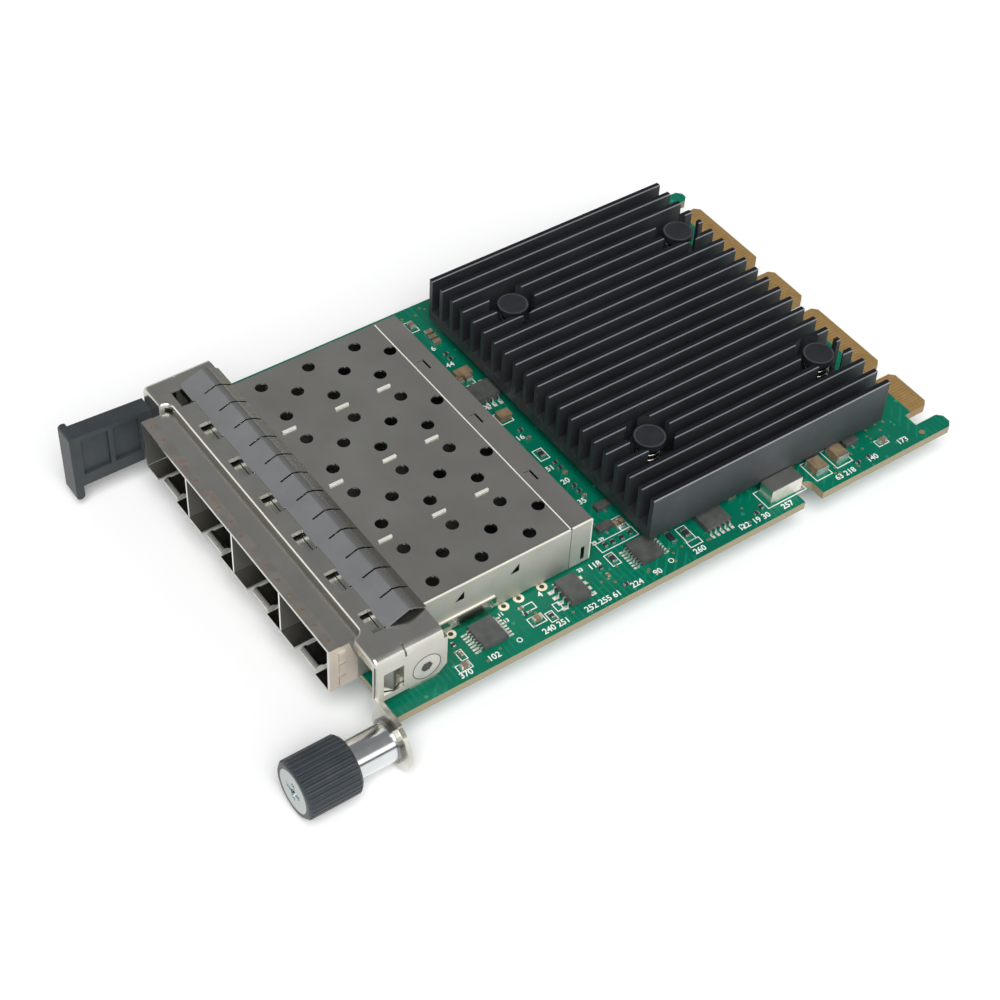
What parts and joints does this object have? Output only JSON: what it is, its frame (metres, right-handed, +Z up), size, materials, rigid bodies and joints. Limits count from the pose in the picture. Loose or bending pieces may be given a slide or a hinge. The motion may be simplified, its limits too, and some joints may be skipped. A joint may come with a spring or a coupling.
{
  "type": "mezzanine network card",
  "caption": "Server mezzanine network card with a cage of module bays, a folded bracket with pull tab and captive thumbscrew, a finned heatsink and a gold card edge.",
  "frame": {"origin": "middle of the board's front edge, on its top face", "axes": "+X across the card towards the thumbscrew, +Y from the module bays to the card edge, +Z up from the board's component side"},
  "size_m": [0.0826, 0.1342, 0.0202],
  "materials": {
    "board_green": "glossy solder mask",
    "gold": "plated",
    "cage_steel": "satin",
    "floor_steel": "satin",
    "collar_steel": "satin with weld marks",
    "bracket_steel": "satin",
    "strip_steel": "bright",
    "screw_steel": "bright",
    "spring_steel": "bright",
    "socket_black": "matte",
    "tab_plastic": "matte",
    "zinc": "bright",
    "grip_black": "matte",
    "sink_dark": "dark anodised",
    "pin_plastic": "matte",
    "chip_black": "moulded",
    "pad_grey": "matte",
    "tin": "tinned",
    "inductor_dark": "matte",
    "ceramic_tan": "ceramic",
    "resistor_black": "ceramic"
  },
  "bodies": {
    "card": {"circuit_board": "board_green", "edge_contacts": "gold", "cage_shell": "cage_steel", "cage_rear_cover": "cage_steel", "cage_divider_1": "cage_steel", "cage_divider_2": "cage_steel", "cage_divider_3": "cage_steel", "cage_floor": "floor_steel", "nose_collar": "collar_steel", "module_socket_1": "socket_black", "module_socket_2": "socket_black", "module_socket_3": "socket_black", "module_socket_4": "socket_black", "socket_terminals": "gold", "bracket": "bracket_steel", "contact_strip": "strip_steel", "side_spring_far": "strip_steel", "side_spring_near": "strip_steel", "bracket_screws": "screw_steel", "bracket_block_far": "screw_steel", "bracket_block_near": "screw_steel", "pull_tab": "tab_plastic", "pull_tab_screw": "screw_steel", "thumbscrew_sleeve": "zinc", "thumbscrew_spring": "spring_steel", "heatsink": "sink_dark", "push_pins": "pin_plastic", "push_pin_springs": "spring_steel", "network_chip": "chip_black", "thermal_pad": "pad_grey", "port_driver_chip": "chip_black", "memory_chip": "chip_black", "monitor_chip": "chip_black", "regulator_chip": "chip_black", "flash_chip": "chip_black", "chip_leads": "tin", "power_inductor": "inductor_dark", "capacitors": "ceramic_tan", "resistors": "resistor_black"},
    "screw_carrier": {"retaining_ring": "screw_steel"},
    "screw": {"thumbscrew": "zinc", "thumbscrew_grip": "grip_black"}
  },
  "joints": [
    {"name": "thumbscrew_slide", "type": "slide", "parent": "card", "child": "screw_carrier", "axis": [0, 1, 0], "range_m": [0, 0.0042], "stiffness_N_per_m": 300, "springref_m": -0.002, "deforming": ["thumbscrew_spring"]},
    {"name": "thumbscrew_turn", "type": "hinge", "parent": "screw_carrier", "child": "screw", "pos_m": [0.0395, 0, -0.0022], "axis": [0, 1, 0], "continuous": true}
  ]
}
